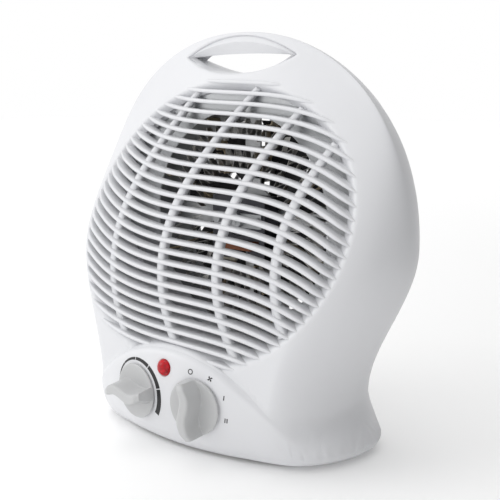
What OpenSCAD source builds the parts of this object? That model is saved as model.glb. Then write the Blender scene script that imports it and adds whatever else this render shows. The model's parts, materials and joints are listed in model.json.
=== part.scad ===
/* [Body] */
// Width of the round head at its widest
body_w = 242; // [236:1:250]
// Overall height, feet included
body_h = 250; // [246:1:254]
// Width of the base at the floor
base_w = 214; // [208:2:218]
// Width of the neck under the head
neck_w = 176; // [172:1:180]
// Height of the neck above the floor
neck_z = 30; // [28:1:34]
// Wall thickness of both covers
wall = 2.4; // [2:0.1:2.8]

/* [Outlet grille] */
// Number of horizontal bars
bar_count = 26; // [24:1:26]
// Spacing of the bars up the face
bar_pitch = 6.33; // [6.2:0.01:6.4]
// Height of one bar
bar_t = 2.4; // [2:0.1:2.8]
// Height of the top bar above the floor
top_bar_z = 220; // [218:1:221]
// How far the bars drop at 100 mm to the right
bar_drop = 20; // [16:1:24]

/* [Controls] */
// Diameter of both knobs
knob_d = 34; // [32:1:35]
// Distance of each knob from the middle
knob_x = 23.5; // [22:0.5:24.5]
// Height of the knobs above the floor
knob_z = 35; // [33:1:37]
// Height of the pilot lamp above the floor
lamp_z = 54; // [53:1:56]

/* [Fan and element] */
// Height of the fan's axis above the floor
fan_z = 134; // [132:1:135]
// Radius of the fan's blades
fan_r = 62; // [56:1:64]
// Number of blades
blade_count = 7; // [5:1:8]
// Number of waves in the outer heating ribbon
wave_count = 48; // [36:4:56]

/* [Hidden] */
$fn = 64;
eps = 0.01;

white = [0.90, 0.90, 0.92];
pale_grey = [0.80, 0.81, 0.83];
steel = [0.72, 0.73, 0.74];
mica_tan = [0.72, 0.66, 0.52];
black = [0.12, 0.12, 0.13];

// Depths, front to back, on the Y axis
panel_y = -47;
parting_y = 28;
rear_y = 61;
shell_z = 2;

// The front face in side view: height, then depth at the middle
front_profile = [[2, -33], [20, -37], [60, -38], [80, -37], [100, -34], [120, -28.5], [140, -20.5],
                 [160, -10], [180, 1], [200, 11], [220, 18.5], [235, 21.5], [250, 23]];
// The rear face in side view
rear_profile = [[2, 57], [20, rear_y], [185, rear_y], [212, 58], [235, 51], [250, 44]];
// The horizontal sections of the front face are arcs about this upright axis, tighter near the floor
face_axis_y = 400;
foot_curve = 0.5;
curve_z = 48;

// Outline of the body, seen from the front
outline_mid_z = 125;
superellipse_n = 2.13;
function smooth(t) = t * t * (3 - 2 * t);
function lower_half_width(z) = z > neck_z
    ? body_w / 2 - (body_w - neck_w) / 2 * smooth((outline_mid_z - z) / (outline_mid_z - neck_z))
    : neck_w / 2 + (base_w - neck_w) / 2 * pow((neck_z - z) / neck_z, 1.4);
lower_steps = 9;
upper_steps = 12;
right_side = concat(
    [for (i = [0 : lower_steps - 1]) let (z = shell_z + (outline_mid_z - shell_z) * i / lower_steps)
        [lower_half_width(z), z]],
    [for (i = [0 : upper_steps]) let (a = 90 * i / upper_steps)
        [body_w / 2 * pow(cos(a), 2 / superellipse_n),
         outline_mid_z + (body_h - outline_mid_z) * pow(sin(a), 2 / superellipse_n)]]);
outline = concat(
    right_side,
    [for (i = [len(right_side) - 2 : -1 : 0]) [-right_side[i][0], right_side[i][1]]],
    [for (t = [-0.5, 0, 0.5]) [base_w * t / 1.4, shell_z]]);

function arc_share(z) = z < curve_z ? foot_curve + (1 - foot_curve) * smooth(z / curve_z) : 1;
function front_face_y(x, z) = let (y = lookup(z, front_profile), r = (face_axis_y - y) * arc_share(z))
    y + r - sqrt(r * r - x * x);
function rear_face_y(x, z) = lookup(z, rear_profile);

// The rim rolls over between the edge and this share of the width, and much less along the floor
roll_start = 0.75;
floor_roll = 0.07;
function roll(t) = sqrt(1 - t * t);
function depth_at(s) = s > roll_start ? roll((s - roll_start) / (1 - roll_start)) : 1;
function floor_shrink(s) = s > roll_start
    ? 1 - (1 - s) * floor_roll
    : (1 - (1 - roll_start) * floor_roll) * s / roll_start;
// One ring of a cover's skin: the outline shrunk about the head's middle, at a share of the full depth
centre_z = 126;
function ring(shrink, depth, side, inset) = let (fit = 1 - max(inset, 0) / 118) [for (p = outline)
    let (low = smooth(max(0, centre_z - p[1]) / (centre_z - shell_z)),
         x = p[0] * fit * shrink,
         z = centre_z + (p[1] - centre_z) * fit * (shrink + (floor_shrink(shrink) - shrink) * low),
         face = side < 0 ? front_face_y(x, z) + inset : rear_face_y(x, z) - inset,
         edge = inset > 0 ? parting_y - side * 3 : parting_y)
    [x, edge + (face - edge) * depth, z]];
function skin_rings(side, inset) = concat(
    [for (t = [1, 0.985, 0.93, 0.83, 0.69, 0.52, 0.3, 0])
        ring(roll_start + (1 - roll_start) * t, roll(t), side, inset)],
    [for (s = [0.6, 0.35, 0.12]) ring(s, 1, side, inset)]);

// A closed solid from rings of equal length, with a point in the middle of each end
function middle(r) = [0, r[0][1], centre_z];
module skin(rings, flip) {
    n = len(rings[0]);
    last = len(rings) - 1;
    front = len(rings) * n;
    points = concat([for (r = rings) each r],
                    [middle(rings[0]), [0, min([for (p = rings[last]) p[1]]), centre_z]]);
    sides = [for (k = [0 : last - 1]) for (i = [0 : n - 1])
        let (a = k * n + i, b = k * n + (i + 1) % n, c = a + n, d = b + n)
        each [[a, b, d], [a, d, c]]];
    ends = [for (i = [0 : n - 1]) let (j = (i + 1) % n)
        each [[front, j, i], [front + 1, last * n + i, last * n + j]]];
    faces = concat(sides, ends);
    polyhedron(points, flip ? [for (f = faces) [f[2], f[1], f[0]]] : faces);
}

module cover_solid(side, inset) {
    skin(skin_rings(side, inset), side < 0);
}

// A shape drawn in front view (X right, Z up) and pushed back along Y
module slab(y0, y1) {
    translate([0, y1, 0]) rotate([90, 0, 0]) linear_extrude(y1 - y0) children();
}
// A cylinder along Y
module rod(r, y0, y1, x = 0, z = 0) {
    translate([x, y1, z]) rotate([90, 0, 0]) cylinder(r = r, h = y1 - y0);
}
module box(x0, x1, y0, y1, z0, z1) {
    translate([x0, y0, z0]) cube([x1 - x0, y1 - y0, z1 - z0]);
}

// Lens-shaped handle opening
handle_z = 235.5;
function lens(half_w, low, high) = let (n = 14) concat(
    [for (i = [0 : n]) let (u = i / n * 2 - 1) [half_w * u, handle_z - low * (1 - pow(abs(u), 2.3))]],
    [for (i = [1 : n - 1]) let (u = 1 - i / n * 2) [half_w * u, handle_z + high * (1 - u * u)]]);
module handle_opening(face_y, out_y) {
    hull() {
        slab(face_y - eps, face_y + eps) polygon(lens(43, 10.5, 13));
        slab(parting_y - 0.5, parting_y + 0.5) polygon(lens(38, 10, 1.5));
    }
    slab(min(face_y, out_y), max(face_y, out_y)) polygon(lens(43, 10.5, 13));
}
// The grip and the wall round the opening are solid
module handle_block(y0, y1) {
    slab(y0, y1) polygon(lens(46, 13.5, 16));
}

// Outlet grille
grille_z = 136;
grille_a = 107;
grille_b = 88;
opening_a = 97;
opening_b = 79;
bar_proud = 1.2;
bar_depth = 4.6;
function bar_z(i, x) = top_bar_z - i * bar_pitch - bar_drop * pow(x / 100, 3) - 3.4 * x / 100;
module ellipse_shape(a, b) {
    translate([0, grille_z]) polygon([for (i = [0 : 63]) [a * cos(i * 5.625), b * sin(i * 5.625)]]);
}
bar_steps = [for (i = [-6 : 6]) 18 * i];
module bar_shape(i) {
    polygon(concat([for (x = bar_steps) [x, bar_z(i, x) + bar_t / 2]],
                   [for (k = [12 : -1 : 0]) [bar_steps[k], bar_z(i, bar_steps[k]) - bar_t / 2]]));
}
// The layer of the domed face between two depths
module face_layer(proud, deep) {
    outer = [for (p = front_profile) [face_axis_y - p[1] + proud, p[0]]];
    inner = [for (i = [len(front_profile) - 1 : -1 : 0])
        [face_axis_y - front_profile[i][1] - deep, front_profile[i][0]]];
    translate([0, face_axis_y, 0]) rotate_extrude($fn = 180) polygon(concat(outer, inner));
}
rib_x = [-66, -20, 23, 62];
rib_t = 3.6;
function rib_at(x0, z) = x0 + 0.005 * pow(z - 128, 2);
module rib_shape(x0) {
    zs = [for (z = [48 : 12 : 228]) z];
    polygon(concat([for (z = zs) [rib_at(x0, z) + rib_t / 2, z]],
                   [for (k = [len(zs) - 1 : -1 : 0]) [rib_at(x0, zs[k]) - rib_t / 2, zs[k]]]));
}
// The bars stand proud in the middle and sink into the cover towards their ends
module bar_tops() {
    skin([ring(0.92, 0, -1, 0), ring(0.92, depth_at(0.92), -1, 1), ring(0.885, depth_at(0.885), -1, 0),
          ring(0.83, depth_at(0.83), -1, -0.9), ring(0.79, depth_at(0.79), -1, -bar_proud),
          ring(0.74, 1, -1, -bar_proud), ring(0.55, 1, -1, -bar_proud), ring(0.3, 1, -1, -bar_proud),
          ring(0.1, 1, -1, -bar_proud)], true);
}
module grille() {
    intersection() {
        bar_tops();
        face_layer(bar_proud + 2, bar_depth);
        slab(-60, 40) intersection() {
            ellipse_shape(grille_a, grille_b);
            union() for (i = [0 : bar_count - 1]) bar_shape(i);
        }
    }
    intersection() {
        face_layer(-2.2, bar_depth + 1);
        slab(-60, 40) intersection() {
            ellipse_shape(opening_a + 2, opening_b + 2);
            union() for (x0 = rib_x) rib_shape(x0);
        }
    }
}

// Wall behind the edge of the opening, back to the baffle plate
baffle_y = 23;
module opening_wall() {
    intersection() {
        face_layer(-2, 80);
        slab(-60, baffle_y) difference() {
            ellipse_shape(opening_a + 1.8, opening_b + 1.8);
            ellipse_shape(opening_a, opening_b);
        }
    }
}

// Control panel: a forward bulge under the grille with an arched crease along its top
toe_r = 170;
toe_axis_y = panel_y + toe_r;
toe_profile = [[2, 15.5], [5, 10.5], [10, 6], [17, 2.8], [25, 0.8], [37, 0], [48, 0.4], [58, 1.6], [66, 3.4]];
crease_steps = 11;
function crease_z(x) = 64 - 62 * pow(x / 100, 2) - 14 * pow(x / 100, 4);
module panel_shape(reach, base, over) {
    polygon(concat([[-reach, base], [reach, base]],
                   [for (k = [crease_steps : -1 : -crease_steps]) let (x = reach * k / crease_steps)
                       [x, crease_z(x) + over]]));
}
module toe_solid(inset) {
    intersection() {
        translate([0, toe_axis_y, 0]) rotate_extrude($fn = 180) polygon(concat(
            [[toe_r - 40, shell_z + inset]],
            [for (p = toe_profile) [toe_r - p[1] - inset, max(p[0], shell_z + inset)]],
            [[toe_r - 40, 66]]));
        slab(-60, 0) panel_shape(inset > 0 ? 80 : 91, shell_z + inset, -inset);
    }
}
// Local frame of a knob: its axis leaves the panel along -Y
knob_splay = 7;
knob_seat_y = panel_y + knob_x * knob_x / 2 / toe_r;
module at_knob(side) {
    translate([side * knob_x, knob_seat_y, knob_z]) rotate([0, 0, side * knob_splay]) children();
}
spindle_r = 3;
spindle_gap = 0.3;

// Seats for the feet
foot_x = 76;
front_feet_y = 4;
rear_feet_y = 40;
module foot_bosses(y) {
    for (x = [-foot_x, foot_x]) translate([x, y, shell_z]) cylinder(r = 7, h = 7);
}

// Screw posts that join the covers
screw_spots = [[80, 194], [-80, 194], [70, 58], [-70, 58]];

module front_cover() {
    color(white) difference() {
        union() {
            difference() {
                union() {
                    cover_solid(-1, 0);
                    toe_solid(0);
                }
                difference() {
                    union() {
                        cover_solid(-1, wall);
                        toe_solid(wall);
                    }
                    handle_block(0, parting_y + 2);
                    for (s = screw_spots)
                        rod(4.5, s[1] > 100 ? 14 : -30, parting_y + 2, s[0], s[1]);
                }
                slab(-60, parting_y + 5) difference() {
                    ellipse_shape(opening_a, opening_b);
                    panel_shape(91, 0, 1.3);
                }
            }
            grille();
            opening_wall();
            foot_bosses(front_feet_y);
        }
        handle_opening(20, 5);
        for (side = [-1, 1]) at_knob(side) rod(spindle_r + spindle_gap, -8, 12);
        rod(5.2, -60, -30, 0, lamp_z);
        for (s = screw_spots) rod(1.4, parting_y - 8.5, parting_y + 1, s[0], s[1]);
    }
}

// Inlet grille in the rear cover: rings and spokes
inlet_r = 66;
module inlet_bars(y0, y1) {
    for (r = [9 : 7 : inlet_r - 1]) difference() {
        rod(r + 1.3, y0, y1, 0, fan_z);
        rod(r - 1.3, y0 - 1, y1 + 1, 0, fan_z);
    }
    for (a = [0 : 30 : 150]) translate([0, 0, fan_z]) rotate([0, a, 0])
        box(-inlet_r - 1, inlet_r + 1, y0, y1, -1.3, 1.3);
}
gland_z = 30;
gland_x = -60;
module rear_cover() {
    color(white) difference() {
        union() {
            difference() {
                cover_solid(1, 0);
                difference() {
                    cover_solid(1, wall);
                    handle_block(parting_y - 2, rear_y);
                    for (s = screw_spots) rod(5.5, parting_y - 2, rear_y, s[0], s[1]);
                }
                rod(inlet_r, rear_y - 6, rear_y + 1, 0, fan_z);
            }
            inlet_bars(rear_y - wall, rear_y);
            foot_bosses(rear_feet_y);
            box(gland_x - 9, gland_x + 9, 45, 49, shell_z + 1.6, gland_z - 6);
            about_fan() for (a = duct_lug_angles) rotate([0, a, 0])
                rod(4, duct_back, rear_y - 1, duct_r + 4);
        }
        handle_opening(50, rear_y + 1);
        for (s = screw_spots) {
            rod(1.8, parting_y - 1, rear_y + 1, s[0], s[1]);
            rod(4.2, parting_y + 11.5, rear_y + 1, s[0], s[1]);
        }
        rod(6.6, rear_y - 6, rear_y + 1, gland_x, gland_z);
        about_fan() for (a = duct_lug_angles) rotate([0, a, 0])
            rod(1.6, duct_back - 1, duct_back + 3.9, duct_r + 4);
    }
}

module rubber_feet() {
    color(black) for (x = [-foot_x, foot_x]) for (y = [front_feet_y, rear_feet_y]) translate([x, y, 0]) {
        cylinder(r1 = 5.4, r2 = 6, h = 0.8);
        translate([0, 0, 0.8]) cylinder(r = 6, h = shell_z - 0.8);
    }
}
module cover_screws() {
    color(steel) for (s = screw_spots) difference() {
        union() {
            rod(1.4, parting_y - 7, parting_y + 12, s[0], s[1]);
            rod(3.6, parting_y + 11.5, parting_y + 14, s[0], s[1]);
        }
        box(s[0] - 2.4, s[0] + 2.4, parting_y + 13, parting_y + 15, s[1] - 0.45, s[1] + 0.45);
        box(s[0] - 0.45, s[0] + 0.45, parting_y + 13, parting_y + 15, s[1] - 2.4, s[1] + 2.4);
    }
}

// Pilot lamp
lamp_y = panel_y + 0.9;
module lamp_lens() {
    color([0.8, 0.05, 0.08, 0.8]) difference() {
        union() {
            rod(5, lamp_y - 1, lamp_y + 10, 0, lamp_z);
            intersection() {
                translate([0, lamp_y + 5, lamp_z]) sphere(r = 7.8);
                rod(5, lamp_y - 8, lamp_y, 0, lamp_z);
            }
            rod(6.4, lamp_y + 3.4, lamp_y + 5, 0, lamp_z);
        }
        rod(3.6, lamp_y + 1, lamp_y + 11, 0, lamp_z);
    }
}
module neon_lamp() {
    color([0.95, 0.6, 0.4, 0.6]) {
        rod(2.8, lamp_y + 2, lamp_y + 13, 0, lamp_z);
        rod(3.2, lamp_y + 10.2, lamp_y + 14, 0, lamp_z);
    }
}

// Steel bracket that carries the thermostat and the switch behind the panel
bracket_depth = 9;
module control_bracket() {
    color(steel) {
        for (side = [-1, 1]) at_knob(side) difference() {
            union() {
                box(-16, 16, bracket_depth, bracket_depth + 1.2, -14, 14);
                box(-14, -10, wall + 0.9, bracket_depth, -3, 3);
                box(10, 14, wall + 0.9, bracket_depth, -3, 3);
            }
            rod(5.2, bracket_depth - 1, bracket_depth + 2);
        }
        bridge_y = knob_seat_y + bracket_depth - 2.2;
        box(-8, 8, bridge_y, bridge_y + 1.2, knob_z - 7, knob_z + 7);
    }
}
back_of_bracket = bracket_depth + 1.2;
module thermostat_body() {
    color(pale_grey) at_knob(-1) difference() {
        union() {
            rod(5, bracket_depth - 3, back_of_bracket);
            box(-9, 9, back_of_bracket, back_of_bracket + 8, -11, 9);
        }
        rod(spindle_r + 0.08, bracket_depth - 4, back_of_bracket + 5);
    }
}
module thermostat_blade() {
    color([0.78, 0.6, 0.35]) at_knob(-1) {
        box(-3, 3, back_of_bracket + 8, back_of_bracket + 9, -11, 14);
        rod(1.6, back_of_bracket + 9, back_of_bracket + 11, 0, -8);
    }
}
module switch_body() {
    color(black) at_knob(1) difference() {
        union() {
            rod(5, bracket_depth - 3, back_of_bracket);
            rod(13, back_of_bracket, back_of_bracket + 16);
        }
        rod(spindle_r + 0.08, bracket_depth - 4, back_of_bracket + 9);
    }
}
module switch_contacts() {
    color([0.8, 0.65, 0.3]) at_knob(1) for (a = [30 : 60 : 330])
        rotate([0, a, 0]) box(7, 11, back_of_bracket + 16, back_of_bracket + 23, -0.4, 0.4);
}

// Fan housing, element and motor, all about the fan's axis
module about_fan() {
    translate([0, 0, fan_z]) children();
}
duct_r = 70;
duct_front = 24.2;
duct_back = rear_y - wall - 4;
duct_lug_angles = [45, 135, 225, 315];
module duct_ring() {
    color(pale_grey) about_fan() difference() {
        union() {
            rod(duct_r, duct_front, duct_back);
            for (a = duct_lug_angles) rotate([0, a, 0])
                box(duct_r - 1, duct_r + 8, duct_back - 3, duct_back, -5, 5);
        }
        rod(duct_r - 1.6, duct_front - 1, duct_back + 1);
        box(0, 6, bracket_y - 3, bracket_y, -duct_r - 1, 0);
        for (a = duct_lug_angles) rotate([0, a, 0]) rod(1.8, duct_back - 4, duct_back + 1, duct_r + 4);
    }
}
module duct_screws() {
    color(steel) about_fan() for (a = duct_lug_angles) rotate([0, a, 0]) {
        rod(1.6, duct_back - 3, duct_back + 3.8, duct_r + 4);
        rod(3.2, duct_back - 5, duct_back - 3, duct_r + 4);
    }
}
// Flat baffle plate between the opening's wall and the duct ring
module baffle_plate() {
    color(steel) difference() {
        slab(baffle_y + 0.1, baffle_y + 1.1) ellipse_shape(opening_a + 1.8, opening_b - 0.5);
        rod(duct_r - 1.6, baffle_y - 1, baffle_y + 3, 0, fan_z);
    }
}
ribbon_front = 26;
ribbon_w = 5;
ribbon_t = 0.5;
outer_wave = [51, 64];
inner_wave = [33, 46];
plate_angles = [0 : 45 : 315];
module mica_plates() {
    color(mica_tan) about_fan() for (a = plate_angles) rotate([0, a + 22.5, 0]) difference() {
        box(31, duct_r - 1.6, ribbon_front - 1, ribbon_front + 11, -0.5, 0.5);
        for (w = [outer_wave, inner_wave])
            box(w[0] - 0.8, w[1] + 0.8, ribbon_front - 2, ribbon_front + ribbon_w + 0.3, -1, 1);
        translate([48.5, ribbon_front + 8, -1]) cylinder(r = 1.25, h = 2);
    }
}
module ribbon(wave, count) {
    n = count * 2;
    radius = function (k, off) (k % 2 == 0 ? wave[0] + 0.4 : wave[1] - 0.4) + off;
    about_fan() slab(ribbon_front, ribbon_front + ribbon_w) difference() {
        polygon([for (k = [0 : n - 1]) radius(k, ribbon_t / 2) * [cos(k * 360 / n), sin(k * 360 / n)]]);
        polygon([for (k = [0 : n - 1]) radius(k, -ribbon_t / 2) * [cos(k * 360 / n), sin(k * 360 / n)]]);
    }
}
module heating_ribbon_outer() {
    color([0.45, 0.42, 0.38]) ribbon(outer_wave, wave_count);
}
module heating_ribbon_inner() {
    color([0.45, 0.42, 0.38]) ribbon(inner_wave, wave_count * 3 / 4);
}
module ribbon_rivets() {
    color(steel) about_fan() for (a = [0, 180]) rotate([0, a + 22.5, 0]) {
        translate([48.5, ribbon_front + 8, -1.4]) cylinder(r = 1.2, h = 2.8);
    }
}
module thermal_cutout() {
    color(black) about_fan() {
        box(-8, 8, bracket_y - 5, bracket_y, 26, 34);
        box(-11, -8, bracket_y - 0.8, bracket_y, 28, 32);
    }
}
module thermal_fuse() {
    color([0.85, 0.8, 0.6]) about_fan() translate([-20, motor_front + 8, -26.8]) rotate([0, 90, 0])
        cylinder(r = 1.8, h = 12);
}

motor_front = 24;
motor_back = 38;
rotor_r = 10;
shaft_r = 1.6;
plate_t = 1.2;
bracket_y = motor_back + plate_t;
module motor_bracket() {
    color(steel) about_fan() difference() {
        intersection() {
            union() {
                box(-duct_r, duct_r, bracket_y, bracket_y + 1.4, -6, 6);
                box(-6, 6, bracket_y, bracket_y + 1.4, -duct_r, duct_r);
                rod(20, bracket_y, bracket_y + 1.4);
            }
            rod(duct_r - 1.6, bracket_y - 1, bracket_y + 3);
        }
        rod(6, bracket_y - 1, bracket_y + 3);
        for (s = [-1, 1]) rod(1.7, bracket_y - 1, bracket_y + 3, s * 16);
    }
}
module motor_stator() {
    color([0.5, 0.5, 0.52]) about_fan() difference() {
        box(-21, 21, motor_front, motor_back, -25, 15);
        rod(rotor_r + 0.4, motor_front - 1, motor_back + 1);
        for (s = [-1, 1]) {
            box(s > 0 ? 7.5 : -16.5, s > 0 ? 16.5 : -7.5, motor_front - 1, motor_back + 1, -19, -12.5);
            rod(1.7, motor_front - 1, motor_back + 1, s * 16);
        }
        box(-7.6, 7.6, motor_front - 1, motor_back + 1, -26, -19);
    }
}
module motor_coil() {
    color([0.55, 0.25, 0.1]) about_fan() difference() {
        box(-12, 12, motor_front - 4, bracket_y - 0.1, -18.6, -12.9);
        box(-7.6, 7.6, motor_front - 0.1, motor_back + 0.1, -20, -12);
    }
}
module bearing_plate(y0, boss_y) {
    difference() {
        union() {
            box(-19, 19, y0, y0 + plate_t, -4.5, 4.5);
            rod(5, min(y0, boss_y), max(y0 + plate_t, boss_y));
        }
        rod(shaft_r + 0.05, y0 - 8, y0 + 8);
        for (s = [-1, 1]) rod(1.7, y0 - 1, y0 + 3, s * 16);
    }
}
module front_bearing_plate() {
    color(steel) about_fan() bearing_plate(motor_front - plate_t, motor_front - 4);
}
module rear_bearing_plate() {
    color(steel) about_fan() bearing_plate(motor_back, motor_back + 4);
}
module motor_screws() {
    color(steel) about_fan() for (s = [-1, 1]) {
        rod(1.5, motor_front - plate_t, motor_back + 4.4, s * 16);
        rod(2.8, motor_front - 3, motor_front - plate_t, s * 16);
    }
}

// Rotating parts
fan_front = 43.4;
fan_back = 53.4;
module fan_impeller() {
    color(black) about_fan() difference() {
        union() {
            rod(9, fan_front, fan_back);
            intersection() {
                for (k = [0 : blade_count - 1]) rotate([0, k * 360 / blade_count, 0])
                    translate([fan_r / 2 + 2, (fan_front + fan_back) / 2, 0]) rotate([28, 0, 0])
                        translate([-fan_r / 2, -0.8, -12]) cube([fan_r, 1.6, 24]);
                rod(fan_r, fan_front + 0.4, fan_back - 0.4);
            }
        }
        rod(shaft_r, fan_front - 1, fan_back + 1);
    }
}
module motor_rotor() {
    color(steel) about_fan() difference() {
        rod(rotor_r, motor_front + 0.4, motor_back - 0.4);
        rod(shaft_r, motor_front - 1, motor_back + 1);
    }
}
module motor_shaft() {
    color(steel) about_fan() rod(shaft_r, motor_front - 4.5, fan_back + 2.4);
}
module fan_clip() {
    color(steel) about_fan() difference() {
        rod(3.6, fan_back, fan_back + 0.8);
        rod(shaft_r, fan_back - 1, fan_back + 2);
    }
}

// Knobs
skirt_t = 4;
knob_rise = 13.4;
grip_half = 4;
module knob() {
    r = knob_d / 2;
    difference() {
        union() {
            rod(r, -0.6 - skirt_t, -0.6);
            intersection() {
                rod(r + 0.8, -knob_rise, -0.6);
                slab(-knob_rise, -0.6) difference() {
                    square([2 * r + 2, 18], center = true);
                    for (s = [-1, 1]) translate([s * 1.5, s * (grip_half + 12)]) circle(r = 12);
                }
            }
        }
        rod(spindle_r, -knob_rise + 3, 1);
        rod(r - 2, -2.4, 0);
    }
    difference() {
        rod(5.2, -2.6, -0.6);
        rod(spindle_r, -4, 1);
    }
}
thermostat_rest = -95;
switch_rest = -8;
module thermostat_knob() {
    color(pale_grey) at_knob(-1) rotate([0, thermostat_rest + 90, 0]) knob();
}
module switch_knob() {
    color(pale_grey) at_knob(1) rotate([0, switch_rest + 90, 0]) knob();
}
module thermostat_spindle() {
    color(steel) at_knob(-1) rod(spindle_r, -knob_rise + 3, back_of_bracket + 4.8);
}
module switch_spindle() {
    color(steel) at_knob(1) rod(spindle_r, -knob_rise + 3, back_of_bracket + 8.8);
}

// Mains connections
block_z = 5.4;
module terminal_block() {
    color(pale_grey) difference() {
        box(-24, 24, 32, 44, block_z, block_z + 14);
        for (x = [-18 : 12 : 18]) {
            rod(2, 30, 50, x, block_z + 6);
            translate([x, 38, block_z + 8]) cylinder(r = 2.2, h = 8);
        }
    }
}
module cord_gland() {
    color(black) difference() {
        union() {
            rod(6.5, rear_y - wall - 2, rear_y - 0.4, gland_x, gland_z);
            rod(8.2, rear_y - wall - 4, rear_y - wall - 1.4, gland_x, gland_z);
        }
        rod(3.4, rear_y - 10, rear_y + 1, gland_x, gland_z);
    }
}
module cord_clamp() {
    color(pale_grey) difference() {
        box(gland_x - 11, gland_x + 11, 44, 50, gland_z - 6, gland_z + 6);
        rod(3.4, 43, 51, gland_x, gland_z);
        for (s = [-1, 1]) translate([gland_x + s * 7.5, 47, gland_z - 7]) cylinder(r = 1.3, h = 14);
    }
}
module clamp_screws() {
    color(steel) for (s = [-1, 1]) translate([gland_x + s * 7.5, 47, gland_z - 6]) {
        cylinder(r = 1.2, h = 12);
        translate([0, 0, 12]) cylinder(r = 2.6, h = 1.8);
    }
}

// Insulated leads: round wire through hand-placed points
module lead(points, r) {
    for (k = [0 : len(points) - 2]) {
        a = points[k];
        b = points[k + 1];
        d = b - a;
        translate(a) rotate([0, acos(d[2] / norm(d)), atan2(d[1], d[0])])
            cylinder(r = r, h = norm(d), $fn = 16);
        if (k > 0) translate(a) sphere(r = r * 1.06, $fn = 16);
    }
}
lead_r = 1.1;
module lead_switch() {
    color([0.5, 0.2, 0.1]) lead([[27.2, -11.2, 30.5], [26, 6, 24], [18, 24, 16], [18, 31.8, block_z + 6]], lead_r);
}
module lead_thermostat() {
    color([0.15, 0.25, 0.6]) lead([[-20.9, -24, 27], [-26, 4, 24], [-18, 24, 16], [-18, 31.8, block_z + 6]], lead_r);
}
module lead_motor() {
    color(black) lead([[6, 44.2, block_z + 6], [6, 49, 22], [3, 37.9, 52], [3, 37.9, 114.8]], lead_r);
}
module lead_lamp() {
    color(black) lead([[0, -31.8, 54], [2, -20, 50], [-6, 8, 26], [-6, 31.8, block_z + 6]], lead_r);
}

front_cover();
rear_cover();
rubber_feet();
cover_screws();
lamp_lens();
neon_lamp();
control_bracket();
thermostat_body();
thermostat_blade();
switch_body();
switch_contacts();
duct_ring();
baffle_plate();
mica_plates();
heating_ribbon_outer();
heating_ribbon_inner();
ribbon_rivets();
thermal_cutout();
thermal_fuse();
motor_bracket();
motor_stator();
motor_coil();
front_bearing_plate();
rear_bearing_plate();
motor_screws();
duct_screws();
terminal_block();
cord_gland();
cord_clamp();
clamp_screws();
lead_switch();
lead_thermostat();
lead_motor();
lead_lamp();
fan_impeller();
motor_rotor();
motor_shaft();
fan_clip();
thermostat_knob();
thermostat_spindle();
switch_knob();
switch_spindle();
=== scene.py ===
"""Looks of an upright fan heater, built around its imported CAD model.

Lengths inside the script are millimetres in the CAD frame; meshes are made in metres.
"""
import json
import math

import bpy
import numpy as np
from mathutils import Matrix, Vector
from mathutils.geometry import delaunay_2d_cdt


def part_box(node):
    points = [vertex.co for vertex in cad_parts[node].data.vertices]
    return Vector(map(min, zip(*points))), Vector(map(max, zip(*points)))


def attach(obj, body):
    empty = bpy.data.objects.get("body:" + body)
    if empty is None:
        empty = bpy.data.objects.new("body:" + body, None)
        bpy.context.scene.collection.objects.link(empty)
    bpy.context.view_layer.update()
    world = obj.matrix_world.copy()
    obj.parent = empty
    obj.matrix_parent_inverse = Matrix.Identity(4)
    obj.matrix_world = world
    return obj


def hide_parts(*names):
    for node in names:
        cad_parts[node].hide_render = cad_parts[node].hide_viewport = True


MM = 0.001
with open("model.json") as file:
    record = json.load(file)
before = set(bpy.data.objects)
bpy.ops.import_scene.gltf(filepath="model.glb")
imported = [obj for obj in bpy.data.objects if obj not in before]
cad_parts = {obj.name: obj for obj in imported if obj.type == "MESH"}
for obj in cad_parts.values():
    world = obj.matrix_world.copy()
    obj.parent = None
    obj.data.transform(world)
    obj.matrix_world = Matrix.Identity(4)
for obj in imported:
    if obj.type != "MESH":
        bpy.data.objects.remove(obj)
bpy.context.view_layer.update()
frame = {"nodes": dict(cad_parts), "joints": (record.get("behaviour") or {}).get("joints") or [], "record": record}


def node_box(name):
    """Lowest and highest corner of a CAD node, in millimetres."""
    low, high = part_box(name)
    return np.array(low) / MM, np.array(high) / MM


def joint(name):
    """Position and axis of a joint, in millimetres."""
    row = next(j for j in frame["joints"] if j["name"] == name)
    return np.array(row["pos_m"], float) / MM, np.array(row["axis"], float)


# ---------------------------------------------------------------- sizes from the frame
front_low, front_high = node_box("front_cover")
rear_low, rear_high = node_box("rear_cover")
HALF_WIDTH = front_high[0]
TOP = front_high[2]
SHELL_Z = front_low[2]
PARTING_Y = front_high[1]
REAR_Y = rear_high[1]
FAN_Z = joint("fan_spin")[0][2]
knob_seats = {"thermostat": joint("thermostat_turn"), "switch": joint("switch_turn")}
KNOB_X = knob_seats["switch"][0][0]
KNOB_Z = knob_seats["switch"][0][2]
PANEL_Y = knob_seats["switch"][0][1] - KNOB_X ** 2 / 340
LAMP_Z = sum(node_box("lamp_lens")[i][2] for i in (0, 1)) / 2

# ---------------------------------------------------------------- outline and face of the body
WALL = 2.4
MID_Z = 125.0
CENTRE_Z = 126.0
NECK_Z = 30.0
NECK_HALF = 88.0
BASE_HALF = 107.0
OUTLINE_POWER = 2.13
ROLL_START = 0.75
FLOOR_ROLL = 0.07
FOOT_CURVE = 0.5
FACE_AXIS_Y = 400.0
SHRINK_PER_WALL = 1 / 118
FRONT_PROFILE = [(2, -33), (20, -37), (60, -38), (80, -37), (100, -34), (120, -28.5), (140, -20.5),
                 (160, -10), (180, 1), (200, 11), (220, 18.5), (235, 21.5), (250, 23)]
REAR_PROFILE = [(2, 57), (20, REAR_Y), (185, REAR_Y), (212, 58), (235, 51), (250, 44)]


def smooth(t):
    t = np.clip(t, 0, 1)
    return t * t * (3 - 2 * t)


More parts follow.
